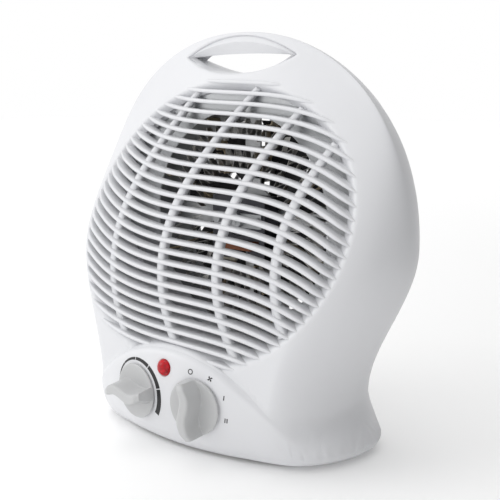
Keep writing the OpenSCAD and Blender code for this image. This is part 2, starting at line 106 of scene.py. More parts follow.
def smooth_profile(table, blur=7.0):
    """A depth for each height: the table's line with its corners rounded."""
    z = np.arange(-60.0, 320.0, 0.5)
    zs, ys = np.array(table, float).T
    y = np.interp(z, zs, ys)
    for end, inner in ((0, 1), (-1, -2)):
        slope = (ys[end] - ys[inner]) / (zs[end] - zs[inner])
        outside = z < zs[0] if end == 0 else z > zs[-1]
        y[outside] = ys[end] + slope * (z[outside] - zs[end])
    k = np.exp(-0.5 * (np.arange(-60, 61) * 0.5 / blur) ** 2)
    y = np.convolve(np.pad(y, 60, mode="edge"), k / k.sum(), mode="valid")
    return lambda at: np.interp(at, z, y)


front_depth = smooth_profile(FRONT_PROFILE)
rear_depth = smooth_profile(REAR_PROFILE, 4.0)


def front_face(x, z):
    y = front_depth(z)
    share = np.where(z < 48, FOOT_CURVE + (1 - FOOT_CURVE) * smooth(z / 48), 1.0)
    r = (FACE_AXIS_Y - y) * share
    return y + r - np.sqrt(np.maximum(r * r - x * x, 1.0))


def rear_face(x, z):
    return rear_depth(z) + 0 * x


def half_width(z):
    upper = HALF_WIDTH - (HALF_WIDTH - NECK_HALF) * smooth((MID_Z - z) / (MID_Z - NECK_Z))
    lower = NECK_HALF + (BASE_HALF - NECK_HALF) * (np.maximum(NECK_Z - z, 0) / NECK_Z) ** 1.4
    return np.where(z > NECK_Z, upper, lower)


def outline_radius():
    """Distance of the outline from the middle of the head, as a function of direction."""
    corner = 7.0
    corner_x = float(half_width(np.array(SHELL_Z + corner))) - corner
    a = np.radians(np.linspace(0, 90, 40))
    bottom = np.stack([np.linspace(0, corner_x, 200)[:-1], np.full(199, SHELL_Z)], 1)
    turn = np.stack([corner_x + corner * np.sin(a), SHELL_Z + corner * (1 - np.cos(a))], 1)
    z = np.linspace(SHELL_Z + corner, MID_Z, 300)[1:]
    side = np.stack([half_width(z), z], 1)
    a = np.radians(np.linspace(0, 90, 400))[1:]
    power = 2 / OUTLINE_POWER
    cap = np.stack([HALF_WIDTH * np.maximum(np.cos(a), 0) ** power,
                    MID_Z + (TOP - MID_Z) * np.sin(a) ** power], 1)
    p = np.concatenate([bottom, turn, side, cap])
    angle = np.arctan2(p[:, 1] - CENTRE_Z, p[:, 0])
    radius = np.hypot(p[:, 0], p[:, 1] - CENTRE_Z)
    order = np.argsort(angle)
    angle, radius = angle[order], radius[order]

    def at(theta):
        right = np.arctan2(np.sin(theta), np.abs(np.cos(theta)))
        return np.interp(right, angle, radius)
    return at


radius_at = outline_radius()


def spread(share, theta):
    """Front-view place of the point at a share of the way from the middle to the outline."""
    r = radius_at(theta)
    ox, oz = r * np.cos(theta), r * np.sin(theta)
    low = smooth(np.maximum(-oz, 0) / (CENTRE_Z - SHELL_Z))
    floor = np.where(share > ROLL_START, 1 - (1 - share) * FLOOR_ROLL,
                     (1 - (1 - ROLL_START) * FLOOR_ROLL) * share / ROLL_START)
    return ox * share, CENTRE_Z + oz * (share + (floor - share) * low)


def locate(x, z):
    """The share and direction that spread() takes to a front-view place, by Newton's method."""
    x, z = np.asarray(x, float), np.asarray(z, float)
    px, pz = x.copy(), z - CENTRE_Z
    step = 1e-3

    def place(px, pz):
        theta = np.arctan2(pz, px)
        return spread(np.hypot(px, pz) / radius_at(theta), theta)
    for _ in range(30):
        gx, gz = place(px, pz)
        ax, az = place(px + step, pz)
        bx, bz = place(px, pz + step)
        a, b, c, d = (ax - gx) / step, (bx - gx) / step, (az - gz) / step, (bz - gz) / step
        det = a * d - b * c
        det = np.where(np.abs(det) < 0.02, 0.02, det)
        ex, ez = x - gx, z - gz
        mx, mz = (d * ex - b * ez) / det, (a * ez - c * ex) / det
        size = np.maximum(np.hypot(mx, mz) / 4.0, 1.0)
        px, pz = px + mx / size, pz + mz / size
    theta = np.arctan2(pz, px)
    return np.hypot(px, pz) / radius_at(theta), theta


def roll_turn(share):
    return np.arcsin(np.clip((share - ROLL_START) / (1 - ROLL_START), 0, 1))


# ---------------------------------------------------------------- panel, grille and handle shapes
TOE_RADIUS = 170.0
TOE_PROFILE = [(2, 15.5), (5, 10.5), (10, 6), (17, 2.8), (25, 0.8), (35, 0), (48, 0.4), (58, 1.6), (66, 3.4)]
toe_depth = smooth_profile(TOE_PROFILE, 2.0)
GRILLE_Z = 136.0
GRILLE = (107.0, 88.0)
OPENING = (97.0, 79.0)
SLOT_DEPTH = 6.0
BAR_COUNT = 26
BAR_PITCH = 6.33
HANDLE_Z = 235.5
FRONT_LENS = (42.5, 10.4, 12.3)
REAR_LENS = (42.5, 10.6, 11.0)
NARROW_LENS = (38.0, 10.0, 1.5)


def crease_z(x):
    return 64 - 62 * (x / 100) ** 2 - 14 * (x / 100) ** 4


def soft_min(a, b, k):
    h = np.clip(0.5 + 0.5 * (b - a) / k, 0, 1)
    return b + (a - b) * h - k * h * (1 - h)


def toe_face(x, z):
    """Depth of the control panel's bulge, which turns back sharply above its crease."""
    r = TOE_RADIUS - toe_depth(z)
    y = PANEL_Y + TOE_RADIUS - np.sqrt(np.maximum(r * r - x * x, 1.0))
    y = y + 0.045 * np.maximum(np.abs(x) - 62, 0) ** 1.7 + 80 * smooth((np.abs(x) - 76) / 24)
    above = z - (crease_z(x) - 2.5)
    fillet = 3.2
    bend = np.clip(above, 0, fillet * 0.95)
    drop = fillet - np.sqrt(fillet ** 2 - bend ** 2) + 4.0 * np.maximum(above - fillet * 0.95, 0)
    return y + drop * (1 - 0.85 * smooth((np.abs(x) - 38) / 40))


def ellipse_share(x, z, axes):
    return np.hypot(x / axes[0], (z - GRILLE_Z) / axes[1])


def skin_y(side, x, z, share, sunk=True, panel=True):
    """Depth of a cover's outer skin, with or without the slots' floor and the panel's bulge."""
    face = front_face(x, z) if side < 0 else rear_face(x, z)
    y = PARTING_Y + (face - PARTING_Y) * np.cos(roll_turn(share))
    if side > 0:
        return y
    if sunk:
        inward = (0.965 - ellipse_share(x, z, GRILLE)) / (0.965 - OPENING[0] / GRILLE[0])
        y = y + SLOT_DEPTH * smooth(inward * 0.8)
    blend = 1.6 + 7 * smooth((np.abs(x) - 40) / 45)
    return soft_min(y, toe_face(x, z), blend) if panel else y


def opening_loop(count=300):
    """Edge of the outlet: an ellipse that stops above the control panel."""
    loop = ellipse_loop(0, GRILLE_Z, *OPENING, count)
    loop[:, 1] = np.maximum(loop[:, 1], crease_z(loop[:, 0]) + 4.5)
    return loop


def lens_loop(lens, count):
    """The handle opening's edge, anticlockwise from its left corner."""
    half, low, high = lens
    u = -np.cos(np.linspace(0, math.pi, count // 2 + 1))
    below = np.stack([half * u, HANDLE_Z - low * (1 - np.abs(u) ** 2.3)], 1)
    above = np.stack([half * u, HANDLE_Z + high * (1 - u * u)], 1)[::-1]
    return np.concatenate([below, above[1:-1]])


def ellipse_loop(x, z, a, b, count):
    t = np.linspace(0, 2 * math.pi, count, endpoint=False)
    return np.stack([x + a * np.cos(t), z + b * np.sin(t)], 1)


def grown(loop, by):
    """A closed loop moved outwards by a distance."""
    if by == 0:
        return loop
    step = np.roll(loop, -1, 0) - np.roll(loop, 1, 0)
    step /= np.linalg.norm(step, axis=1)[:, None]
    return loop + by * np.stack([step[:, 1], -step[:, 0]], 1)


def inside(points, loop):
    """Which points lie inside a closed loop."""
    x, y = points[:, 0][:, None], points[:, 1][:, None]
    ax, ay = loop[:, 0], loop[:, 1]
    bx, by = np.roll(ax, -1), np.roll(ay, -1)
    crosses = (ay > y) != (by > y)
    slope = (bx - ax) / np.where(by == ay, 1e-9, by - ay)
    return (np.sum(crosses & (x < ax + (y - ay) * slope), 1) % 2) == 1


# ---------------------------------------------------------------- mesh helpers
def new_object(name, verts, faces, material, crease=35.0):
    """A mesh object from millimetre vertices, its edges sharp above the crease angle."""
    mesh = bpy.data.meshes.new(name)
    places = [tuple(v) for v in np.asarray(verts, float) * MM]
    mesh.from_pydata(places, [], [tuple(map(int, f)) for f in faces])
    mesh.validate()
    mesh.shade_smooth()
    mesh.set_sharp_from_angle(angle=math.radians(crease))
    mesh.materials.append(material)
    obj = bpy.data.objects.new(name, mesh)
    bpy.context.scene.collection.objects.link(obj)
    return obj


def signed_volume(verts, faces):
    """Volume inside a closed mesh, negative where its faces look inwards."""
    fans = np.array([(f[0], f[i], f[i + 1]) for f in faces for i in range(1, len(f) - 1)])
    a, b, c = (np.asarray(verts, float) - np.mean(verts, axis=0))[fans].transpose(1, 0, 2)
    return float(np.einsum("ij,ij->i", a, np.cross(b, c)).sum()) / 6


class Solid:
    """Collects several closed shapes into one mesh."""

    def __init__(self):
        self.verts, self.faces, self.count = [], [], 0

    def add(self, verts, faces):
        self.verts.append(np.asarray(verts, float))
        self.faces += [[i + self.count for i in f] for f in faces]
        self.count += len(verts)

    def tube(self, rings, closed=False):
        """Rings of equal length joined side by side, capped unless closed on themselves."""
        n, m = len(rings[0]), len(rings)
        faces = []
        for k in range(m if closed else m - 1):
            a, b = k * n, ((k + 1) % m) * n
            faces += [[a + i, a + (i + 1) % n, b + (i + 1) % n, b + i] for i in range(n)]
        if not closed:
            faces += [list(range(n))[::-1], [(m - 1) * n + i for i in range(n)]]
        verts = np.concatenate(rings)
        if signed_volume(verts, faces) < 0:
            faces = [f[::-1] for f in faces]
        self.add(verts, faces)

    def object(self, name, material, crease=35.0):
        return new_object(name, np.concatenate(self.verts), self.faces, material, crease)


def lathe(solid, profile, centre, axis, steps=64):
    """A closed profile of (radius, distance along the axis) turned about an axis."""
    axis = np.array(axis, float) / np.linalg.norm(axis)
    side = np.cross(axis, [0.0, 0.0, 1.0])
    side /= np.linalg.norm(side)
    up = np.cross(side, axis)
    rings = []
    for k in range(steps):
        a = 2 * math.pi * k / steps
        out = math.cos(a) * side + math.sin(a) * up
        rings.append([np.array(centre) + r * out + d * axis for r, d in profile])
    solid.tube([np.array(r) for r in rings], closed=True)


def sweep_y(solid, path, half, proud, depth, across):
    """A bar with a rounded crown whose sides run back along Y. across is the bar's width direction."""
    section = [(-0.80, -1.0), (-1.0, -0.25), (-0.94, 0.35), (-0.62, 0.84), (0, 1.0),
               (0.62, 0.84), (0.94, 0.35), (1.0, -0.25), (0.80, -1.0)]
    rings = []
    for k, p in enumerate(path):
        crown = min(1.3, half[k])
        ring = []
        for a, d in section:
            y = -proud[k] + crown * (1 - d) if d > -0.5 else depth[k]
            ring.append(p + across[k] * a * half[k] + np.array([0, y, 0]))
        rings.append(np.array(ring))
    solid.tube(rings)


# ---------------------------------------------------------------- materials
def principled(name, color, roughness, **extra):
    material = bpy.data.materials.new(name)
    material.use_nodes = True
    shader = material.node_tree.nodes["Principled BSDF"]
    shader.inputs["Base Color"].default_value = (*color, 1)
    shader.inputs["Roughness"].default_value = roughness
    for key, value in extra.items():
        shader.inputs[key.replace("_", " ")].default_value = value
    return material, shader


def plastic(name, color, roughness=0.42, grain=2600.0, bump=0.05, vary=0.03, wear=0.05, **extra):
    """Moulded plastic: spark-eroded grain, a slight mottling, and shinier patches."""
    material, shader = principled(name, color, roughness, **extra)
    nodes, links = material.node_tree.nodes, material.node_tree.links
    coords = nodes.new("ShaderNodeTexCoord")
    fine = nodes.new("ShaderNodeTexNoise")
    fine.inputs["Scale"].default_value = grain
    fine.inputs["Detail"].default_value = 3
    broad = nodes.new("ShaderNodeTexNoise")
    broad.inputs["Scale"].default_value = 38
    broad.inputs["Detail"].default_value = 5
    for tex in (fine, broad):
        links.new(coords.outputs["Object"], tex.inputs["Vector"])
    height = nodes.new("ShaderNodeBump")
    height.inputs["Strength"].default_value = bump
    height.inputs["Distance"].default_value = 0.0004
    links.new(fine.outputs["Fac"], height.inputs["Height"])
    links.new(height.outputs["Normal"], shader.inputs["Normal"])
    tint = nodes.new("ShaderNodeMixRGB")
    tint.inputs["Color1"].default_value = (*[c * (1 - vary) for c in color], 1)
    tint.inputs["Color2"].default_value = (*[min(1, c * (1 + vary)) for c in color], 1)
    links.new(broad.outputs["Fac"], tint.inputs["Fac"])
    links.new(tint.outputs["Color"], shader.inputs["Base Color"])
    gloss = nodes.new("ShaderNodeMapRange")
    gloss.inputs["To Min"].default_value = roughness - wear
    gloss.inputs["To Max"].default_value = roughness + wear
    links.new(broad.outputs["Fac"], gloss.inputs["Value"])
    links.new(gloss.outputs["Result"], shader.inputs["Roughness"])
    return material


def metal(name, color, roughness=0.32, stretch=(1, 1, 1), scale=900.0, bump=0.08, vary=0.12):
    """Bare or plated metal with fine streaks along one direction."""
    material, shader = principled(name, color, roughness, Metallic=1.0)
    nodes, links = material.node_tree.nodes, material.node_tree.links
    coords = nodes.new("ShaderNodeTexCoord")
    mapping = nodes.new("ShaderNodeMapping")
    mapping.inputs["Scale"].default_value = stretch
    streaks = nodes.new("ShaderNodeTexNoise")
    streaks.inputs["Scale"].default_value = scale
    streaks.inputs["Detail"].default_value = 4
    links.new(coords.outputs["Object"], mapping.inputs["Vector"])
    links.new(mapping.outputs["Vector"], streaks.inputs["Vector"])
    height = nodes.new("ShaderNodeBump")
    height.inputs["Strength"].default_value = bump
    height.inputs["Distance"].default_value = 0.0003
    links.new(streaks.outputs["Fac"], height.inputs["Height"])
    links.new(height.outputs["Normal"], shader.inputs["Normal"])
    ramp = nodes.new("ShaderNodeValToRGB")
    ramp.color_ramp.elements[0].color = (*[c * (1 - vary) for c in color], 1)
    ramp.color_ramp.elements[1].color = (*[min(1, c * (1 + vary)) for c in color], 1)
    links.new(streaks.outputs["Fac"], ramp.inputs["Fac"])
    links.new(ramp.outputs["Color"], shader.inputs["Base Color"])
    rough = nodes.new("ShaderNodeMapRange")
    rough.inputs["To Min"].default_value = roughness - 0.07
    rough.inputs["To Max"].default_value = roughness + 0.1
    links.new(streaks.outputs["Fac"], rough.inputs["Value"])
    links.new(rough.outputs["Result"], shader.inputs["Roughness"])
    return material


MATERIALS = {
    "cover_plastic": plastic("white_cover", (0.70, 0.705, 0.725), 0.38, bump=0.04, vary=0.012),
    "knob_plastic": plastic("grey_knob", (0.49, 0.494, 0.498), 0.34, bump=0.035, vary=0.02),
    "duct_plastic": plastic("grey_duct", (0.20, 0.205, 0.21), 0.5),
    "phenolic": plastic("cream_moulding", (0.62, 0.58, 0.48), 0.55, vary=0.06),
    "black_plastic": plastic("black_moulding", (0.012, 0.012, 0.014), 0.45),
    "fan_plastic": plastic("fan_moulding", (0.010, 0.010, 0.012), 0.5),
    "rubber": plastic("foot_rubber", (0.02, 0.02, 0.021), 0.78, grain=1500.0, bump=0.2),
    "mica": plastic("mica_sheet", (0.36, 0.29, 0.19), 0.35, grain=700.0, bump=0.25, vary=0.2),
    "copper_coil": plastic("enamelled_coil", (0.30, 0.09, 0.03), 0.3, grain=1800.0, bump=0.3, vary=0.15),
    "lead_brown": plastic("brown_lead", (0.10, 0.035, 0.012), 0.4),
    "lead_blue": plastic("blue_lead", (0.012, 0.05, 0.24), 0.4),
    "steel": metal("zinc_plate", (0.56, 0.57, 0.58), 0.34, (1, 1, 6)),
    "bimetal": metal("bimetal_strip", (0.62, 0.50, 0.32), 0.3),
    "brass": metal("brass_tag", (0.70, 0.52, 0.22), 0.28),
    "nichrome": metal("heater_ribbon", (0.74, 0.72, 0.69), 0.28, scale=1400.0, vary=0.25),
    "laminations": metal("varnished_core", (0.10, 0.10, 0.11), 0.45, (1, 40, 1)),
}


def clear_red():
    """Moulded lamp lens: deep red, clear, with a coarse prismatic inside."""
    material, shader = principled("red_lens", (0.45, 0.001, 0.006), 0.05)
    shader.inputs["Transmission Weight"].default_value = 0.05
    shader.inputs["IOR"].default_value = 1.4
    shader.inputs["Coat Weight"].default_value = 0.1
    nodes, links = material.node_tree.nodes, material.node_tree.links
    coords = nodes.new("ShaderNodeTexCoord")
    cells = nodes.new("ShaderNodeTexVoronoi")
    cells.inputs["Scale"].default_value = 520
    links.new(coords.outputs["Object"], cells.inputs["Vector"])
    ramp = nodes.new("ShaderNodeValToRGB")
    ramp.color_ramp.elements[0].color = (0.66, 0.0, 0.010, 1)
    ramp.color_ramp.elements[1].color = (0.26, 0.0, 0.004, 1)
    links.new(cells.outputs["Distance"], ramp.inputs["Fac"])
    links.new(ramp.outputs["Color"], shader.inputs["Base Color"])
    height = nodes.new("ShaderNodeBump")
    height.inputs["Strength"].default_value = 0.25
    height.inputs["Distance"].default_value = 0.0006
    links.new(cells.outputs["Distance"], height.inputs["Height"])
    links.new(height.outputs["Normal"], shader.inputs["Normal"])
    return material


def neon_glass():
    material, shader = principled("neon_glass", (0.9, 0.7, 0.6), 0.05)
    shader.inputs["Transmission Weight"].default_value = 0.8
    return material


MATERIALS["lamp_red"] = clear_red()
MATERIALS["neon_glass"] = neon_glass()
INK = plastic("dial_ink", (0.012, 0.012, 0.013), 0.5, bump=0.02)


# ---------------------------------------------------------------- covers
UNROLL = 0.62


def to_plane(share, theta):
    flat = np.where(share < ROLL_START, share, ROLL_START + UNROLL * roll_turn(share) / (math.pi / 2))
    r = flat * radius_at(theta)
    return np.stack([r * np.cos(theta), r * np.sin(theta)], 1)


def from_plane(p):
    theta = np.arctan2(p[:, 1], p[:, 0])
    flat = np.hypot(p[:, 0], p[:, 1]) / radius_at(theta)
    turn = np.clip((flat - ROLL_START) / UNROLL, 0, 1) * math.pi / 2
    share = np.where(flat < ROLL_START, flat, ROLL_START + (1 - ROLL_START) * np.sin(turn))
    return share, theta


class Hole:
    """An opening in a cover: its edge, how round its lip is, and the rings its wall passes through."""

    def __init__(self, loop, lip=0.6, path=None):
        self.loop, self.lip, self.path = loop, lip, path

    def rows(self):
        return [0.0] + [self.lip * f for f in (0.12, 0.3, 0.55, 1.0)] if self.lip else [0.0]


def lens_target(x, z, lens, from_lens):
    u = np.clip(x / from_lens[0], -1, 1)
    half, low, high = lens
    lower = HANDLE_Z - low * (1 - abs(u) ** 2.3)
    upper = HANDLE_Z + high * (1 - u * u)
    return half * u, np.where(z < HANDLE_Z, lower, upper)


def cover(side, holes, extra_rows=(), spacing=2.3):
    """Vertices and faces of one closed cover: an outer skin, an inner skin and the walls between them."""
    theta = np.linspace(0, 2 * math.pi, 420, endpoint=False)
    points, edges = [], []

    def add_loop(plane, closed=True):
        start = sum(len(p) for p in points)
        points.append(plane)
        n = len(plane)
        edges.extend((start + i, start + (i + 1) % n) for i in range(n if closed else n - 1))

    rim = to_plane(np.ones_like(theta), theta)
    add_loop(rim)
    blocked = []
    for hole in holes:
        for k, row in enumerate(hole.rows()):
            loop = grown(hole.loop, row)
            plane = to_plane(*locate(loop[:, 0], loop[:, 1]))
            add_loop(plane)
            if k == 0:
                hole.plane = plane
        blocked.append(plane)
    for row in extra_rows:
        add_loop(to_plane(*locate(row[:, 0], row[:, 1])), closed=False)
    reach = 150 * (ROLL_START + UNROLL)
    gx, gz = np.meshgrid(np.arange(-reach, reach, spacing), np.arange(-reach, reach, spacing * 0.866))
    gx = gx + (np.arange(gx.shape[0]) % 2)[:, None] * spacing / 2
    grid = np.stack([gx.ravel(), gz.ravel()], 1)
    keep = inside(grid, rim * (1 - 0.6 * spacing / 130))
    for plane in blocked:
        keep &= ~inside(grid, plane)
    grid = grid[keep]
    fixed = np.concatenate(points)
    near = np.zeros(len(grid), bool)
    for k in range(0, len(grid), 2000):
        block = grid[k:k + 2000]
        d = np.min(np.hypot(block[:, None, 0] - fixed[:, 0], block[:, None, 1] - fixed[:, 1]), 1)
        near[k:k + 2000] = d < spacing * 0.45
    allp = np.concatenate([fixed, grid[~near]])
    out = delaunay_2d_cdt([Vector(p) for p in allp], edges, [], 0, 1e-6)
    plane = np.array([tuple(v) for v in out[0]])
    tris = np.array([f for f in out[2]], int)
    mid = plane[tris].mean(1)
    keep = inside(mid, rim)
    for hole in holes:
        keep &= ~inside(mid, hole.plane)
    tris = tris[keep]
    used = np.unique(tris)
    index = np.full(len(plane), -1)
    index[used] = np.arange(len(used))
    tris, plane = index[tris], plane[used]
    area = np.cross(plane[tris[:, 1]] - plane[tris[:, 0]], plane[tris[:, 2]] - plane[tris[:, 0]])
    tris[area < 0] = tris[area < 0][:, ::-1]

    share, theta = from_plane(plane)
    x, z = spread(share, theta)
    y = skin_y(side, x, z, share)
    lipped = y.copy()
    front_view = np.stack([x, z], 1)
    for hole in holes:
        if not hole.lip:
            continue
        edge = hole.loop
        close = np.nonzero(np.min(np.hypot(x[:, None] - edge[::2, 0], z[:, None] - edge[::2, 1]), 1)
                           < hole.lip + 2)[0]
        a, b = edge, np.roll(edge, -1, 0)
        p = front_view[close][:, None]
        t = np.clip(np.sum((p - a) * (b - a), 2) / np.sum((b - a) ** 2, 1), 0, 1)
        d = np.min(np.linalg.norm(p - (a + t[..., None] * (b - a)), axis=2), 1)
        into = np.clip(hole.lip - d, 0, hole.lip)
        lipped[close] -= side * (hole.lip - np.sqrt(hole.lip ** 2 - into ** 2))
    outer = np.stack([x, lipped, z], 1)
    fit = 1 - WALL * SHRINK_PER_WALL
    depth = np.cos(roll_turn(share))
    inner = np.stack([x * fit, y - side * WALL * depth, CENTRE_Z + (z - CENTRE_Z) * fit], 1)

    n = len(outer)
    verts = [outer, inner]
    count = 2 * n
    facing = side > 0
    faces = [list(t[::-1]) if facing else list(t) for t in tris]
    faces += [[i + n for i in (t if facing else t[::-1])] for t in tris]
    directed = {}
    for t in (tris[:, ::-1] if facing else tris):
        for i in range(3):
            directed[(t[i], t[(i + 1) % 3])] = True
    border = [(a, b) for (a, b) in directed if (b, a) not in directed]
    ends = np.array(sorted({a for a, b in border}))
    owner = {}
    for hole in holes:
        if hole.path is None:
            continue
        a, b = hole.loop, np.roll(hole.loop, -1, 0)
        p = front_view[ends][:, None]
        t = np.clip(np.sum((p - a) * (b - a), 2) / np.sum((b - a) ** 2, 1), 0, 1)
        d = np.min(np.linalg.norm(p - (a + t[..., None] * (b - a)), axis=2), 1)
        for v in ends[d < 0.5]:
            owner[v] = hole
    chains = {}
    for v in ends:
        middle = owner[v].path(x[v], z[v]) if v in owner else []
        chains[v] = [v] + [count + k for k in range(len(middle))] + [v + n]
        if middle:
            verts.append(np.array(middle, float))
            count += len(middle)
    for a, b in border:
        ca, cb = chains[a], chains[b]
        if len(ca) != len(cb):
            raise ValueError("wall chains differ at %s %s" % ((x[a], z[a]), (x[b], z[b])))
        for k in range(len(ca) - 1):
            faces.append([cb[k], ca[k], ca[k + 1], cb[k + 1]])
    return np.concatenate(verts), faces


WAIST_LENS = (46, 13.5, 11.0)
HANDLE_FRONT_Y = 21.5
HANDLE_REAR_Y = 48


def handle_path(x, z, lens, start_y, swell):
    """Points down the grip opening's wall, from a cover's face to the parting plane."""
    nx, nz = lens_target(x, z, NARROW_LENS, lens)
    steps = []
    for k in (0.35, 0.7, 1.0):
        y = start_y + (PARTING_Y - start_y) * k + swell * (1 - k)
        steps.append((x + (nx - x) * k, y, z + (nz - z) * k))
    bx, bz = lens_target(x, z, WAIST_LENS, lens)
    return steps + [(bx, PARTING_Y, bz)]


def front_handle_path(x, z):
    return handle_path(x, z, FRONT_LENS, HANDLE_FRONT_Y, 1.5)


def rear_handle_path(x, z):
    return handle_path(x, z, REAR_LENS, HANDLE_REAR_Y, -2)


def opening_path(x, z):
    back = node_box("baffle_plate")[0][1] - 0.2
    k = 1 + 1.8 / OPENING[0]
    return [(x, back, z), (x * k, back, GRILLE_Z + (z - GRILLE_Z) * k)]


def straight_hole(x, z, r, lip=0.5, count=28):
    return Hole(ellipse_loop(x, z, r, r, count), lip)


def add_bars(solid):
    """The outlet bars, each a shallow wave, cut off where they meet the face and the panel."""
    for i in range(BAR_COUNT):
        def bar_z(x):
            return 220 - i * BAR_PITCH - 20 * (x / 100) ** 3 - 3.4 * x / 100
        x = np.linspace(-GRILLE[0], GRILLE[0], 1200)
        share, _ = locate(x, bar_z(x))
        on = (ellipse_share(x, bar_z(x), GRILLE) < 1.0) & (bar_z(x) > crease_z(x) - 2.5)
        on &= share < np.where(x < 0, 0.855, 0.875)
        edges = np.nonzero(np.diff(np.concatenate([[0], on.astype(int), [0]])))[0]
        for first, last in zip(edges[::2], edges[1::2]):
            low, high = x[first], x[last - 1]
            if high - low > 12:
                add_bar(solid, low, high, bar_z)


def add_bar(solid, low, high, bar_z):
    t = np.linspace(0, 1, 64)
    t = 0.5 - 0.5 * np.cos(math.pi * t) * (0.75 + 0.25 * np.cos(math.pi * t) ** 2)
    x = low + (high - low) * t
    z = bar_z(x)
    share, _ = locate(x, z)
    y = skin_y(-1, x, z, share, sunk=False, panel=False)
    end = np.minimum(x - low, high - x)
    half = 0.35 + 0.9 * np.sqrt(smooth(end / 15))
    proud = -0.5 + 1.6 * smooth(end / 12)
    tangent = np.gradient(z, x)
    across = [np.array([-s, 0, 1.0]) / math.hypot(s, 1) for s in tangent]
    sweep_y(solid, np.stack([x, y, z], 1), half, proud, np.full(64, SLOT_DEPTH + 0.3), across)


def add_ribs(solid):
    """The upright ribs that carry the bars."""
    for x0 in (-66, -20, 23, 62):
        z = np.linspace(50, 222, 90)
        x = x0 + 0.005 * (z - 128) ** 2
        on = ellipse_share(x, z, (OPENING[0] + 3, OPENING[1] + 3)) < 1
        x, z = x[on], z[on]
        share, _ = locate(x, z)
        y = skin_y(-1, x, z, share, sunk=False, panel=False)
        half = (3.6 + 1.8 * smooth((212 - z) / 70)) / 2
        slope = np.gradient(x, z)
        across = [np.array([-1.0, 0, s]) / math.hypot(s, 1) for s in slope]
        count = len(x)
        sweep_y(solid, np.stack([x, y + 1.4, z], 1), half, np.zeros(count), np.full(count, 5.2), across)


def front_cover():
    """Front cover with its holes, bars, ribs and control panel."""
    holes = [
        Hole(lens_loop(FRONT_LENS, 120), 1.6, front_handle_path),
        Hole(opening_loop(), 0, opening_path),
        straight_hole(-KNOB_X, KNOB_Z, 3.3),
        straight_hole(KNOB_X, KNOB_Z, 3.3),
        straight_hole(0, LAMP_Z, 5.15, 0.4, 40),
    ]
    xs = np.linspace(-92, 92, 120)
    rows = [np.stack([xs, crease_z(xs) + off], 1) for off in (-3.6, -2.4, -1.2, -0.2, 0.7, 1.4, 2.2)]
    rows = [r[(r[:, 1] > 12) & (np.hypot(r[:, 0], r[:, 1] - LAMP_Z) > 7)] for r in rows]
    rows = [part for r in rows for part in split_row(r)]
    solid = Solid()
    solid.add(*cover(-1, holes, rows))
    add_bars(solid)
    add_ribs(solid)
    piece = solid.object("front_shell", MATERIALS["cover_plastic"], 50)
    return finish_piece(piece, "housing", "cover_plastic", "front_cover")


def split_row(row):
    """Breaks a row of points where it has a gap."""
    gaps = np.nonzero(np.linalg.norm(np.diff(row, axis=0), axis=1) > 5)[0] + 1
    return [part for part in np.split(row, gaps) if len(part) > 1]


def add_inlet_grille(solid):
    """Rings and spokes across the fan's inlet."""
    low, high = REAR_Y - WALL, REAR_Y
    rim = [(-1.3, low), (-1.3, high - 0.6), (-0.7, high), (0.7, high), (1.3, high - 0.6), (1.3, low)]
    radius = (node_box("fan_impeller")[1][2] - FAN_Z) + 4
    for r in np.arange(9.0, radius - 1, 7.0):
        lathe(solid, [(r + a, d) for a, d in rim], (0, 0, FAN_Z), (0, 1, 0), 120)
    for k in range(12):
        a = math.radians(30 * k)
        out, across = np.array([math.cos(a), 0, math.sin(a)]), np.array([-math.sin(a), 0, math.cos(a)])
        rings = []
        for reach in (8.0, radius * 0.5, radius + 1.5):
            ring = [np.array([0, d, FAN_Z]) + out * reach + across * w for w, d in rim]
            rings.append(np.array(ring)[::-1])
        solid.tube(rings)


def rear_cover():
    """Rear cover with the inlet grille, screw posts and cord inlet."""
    radius = (node_box("fan_impeller")[1][2] - FAN_Z) + 4
    gland_low, gland_high = node_box("cord_gland")
    gland = (gland_low + gland_high) / 2
    screws = [(80, 194), (-80, 194), (70, 58), (-70, 58)]
    holes = [Hole(lens_loop(REAR_LENS, 120), 2.2, rear_handle_path),
             Hole(ellipse_loop(0, FAN_Z, radius, radius, 220), 0.8),
             straight_hole(gland[0], gland[2], 6.6, 0.5, 40)]
    holes += [straight_hole(x, z, 4.2, 0.5, 32) for x, z in screws]
    solid = Solid()
    solid.add(*cover(1, holes))
    add_inlet_grille(solid)
    for x, z in screws:
        post = [(4.2, PARTING_Y + 11.5), (1.8, PARTING_Y + 11.5), (1.8, PARTING_Y), (5.5, PARTING_Y),
                (5.5, REAR_Y - WALL + 0.3), (4.2, REAR_Y - WALL + 0.3)]
        if z > 150:
            post = [(r, min(d, 56.0)) for r, d in post]
        lathe(solid, post, (x, 0, z), (0, 1, 0), 40)
    piece = solid.object("rear_shell", MATERIALS["cover_plastic"], 50)
    return finish_piece(piece, "housing", "cover_plastic", "rear_cover")


def finish_piece(piece, body, slot, *nodes):
    """Rides a piece on its body and hides the CAD nodes that it stands for; the slot argument is not used."""
    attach(piece, body)
    if nodes:
        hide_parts(*nodes)
    return piece


# ---------------------------------------------------------------- controls
KNOB_R = 16.8
KNOB_RISE = 13.0
SKIRT_RISE = 1.5
KNOB_GAP = 0.3


def knob_height(u, v):
    """Height of a knob's face: a dished skirt with a scooped grip across it, u along the grip."""
    r = np.hypot(u, v)
    edge = np.clip((KNOB_R - r) / 1.2, 0, 1)
    skirt = SKIRT_RISE - 0.8 * (1 - np.sqrt(1 - (1 - edge) ** 2)) - 0.45 * smooth((15.4 - r) / 8)
    middle = -2.0 * np.sin(math.pi * u / 15)
    width = 3.9 - 0.9 * (u / KNOB_R) ** 2
    side = np.abs(v - middle) - width
    grip = smooth((1.3 - side) / 2.2)
    crown = KNOB_RISE - 0.9 * smooth((side + 2.2) / 2.6) - 1.4 * smooth((r - 13.0) / 3.8)
    return skirt + (crown - skirt) * grip


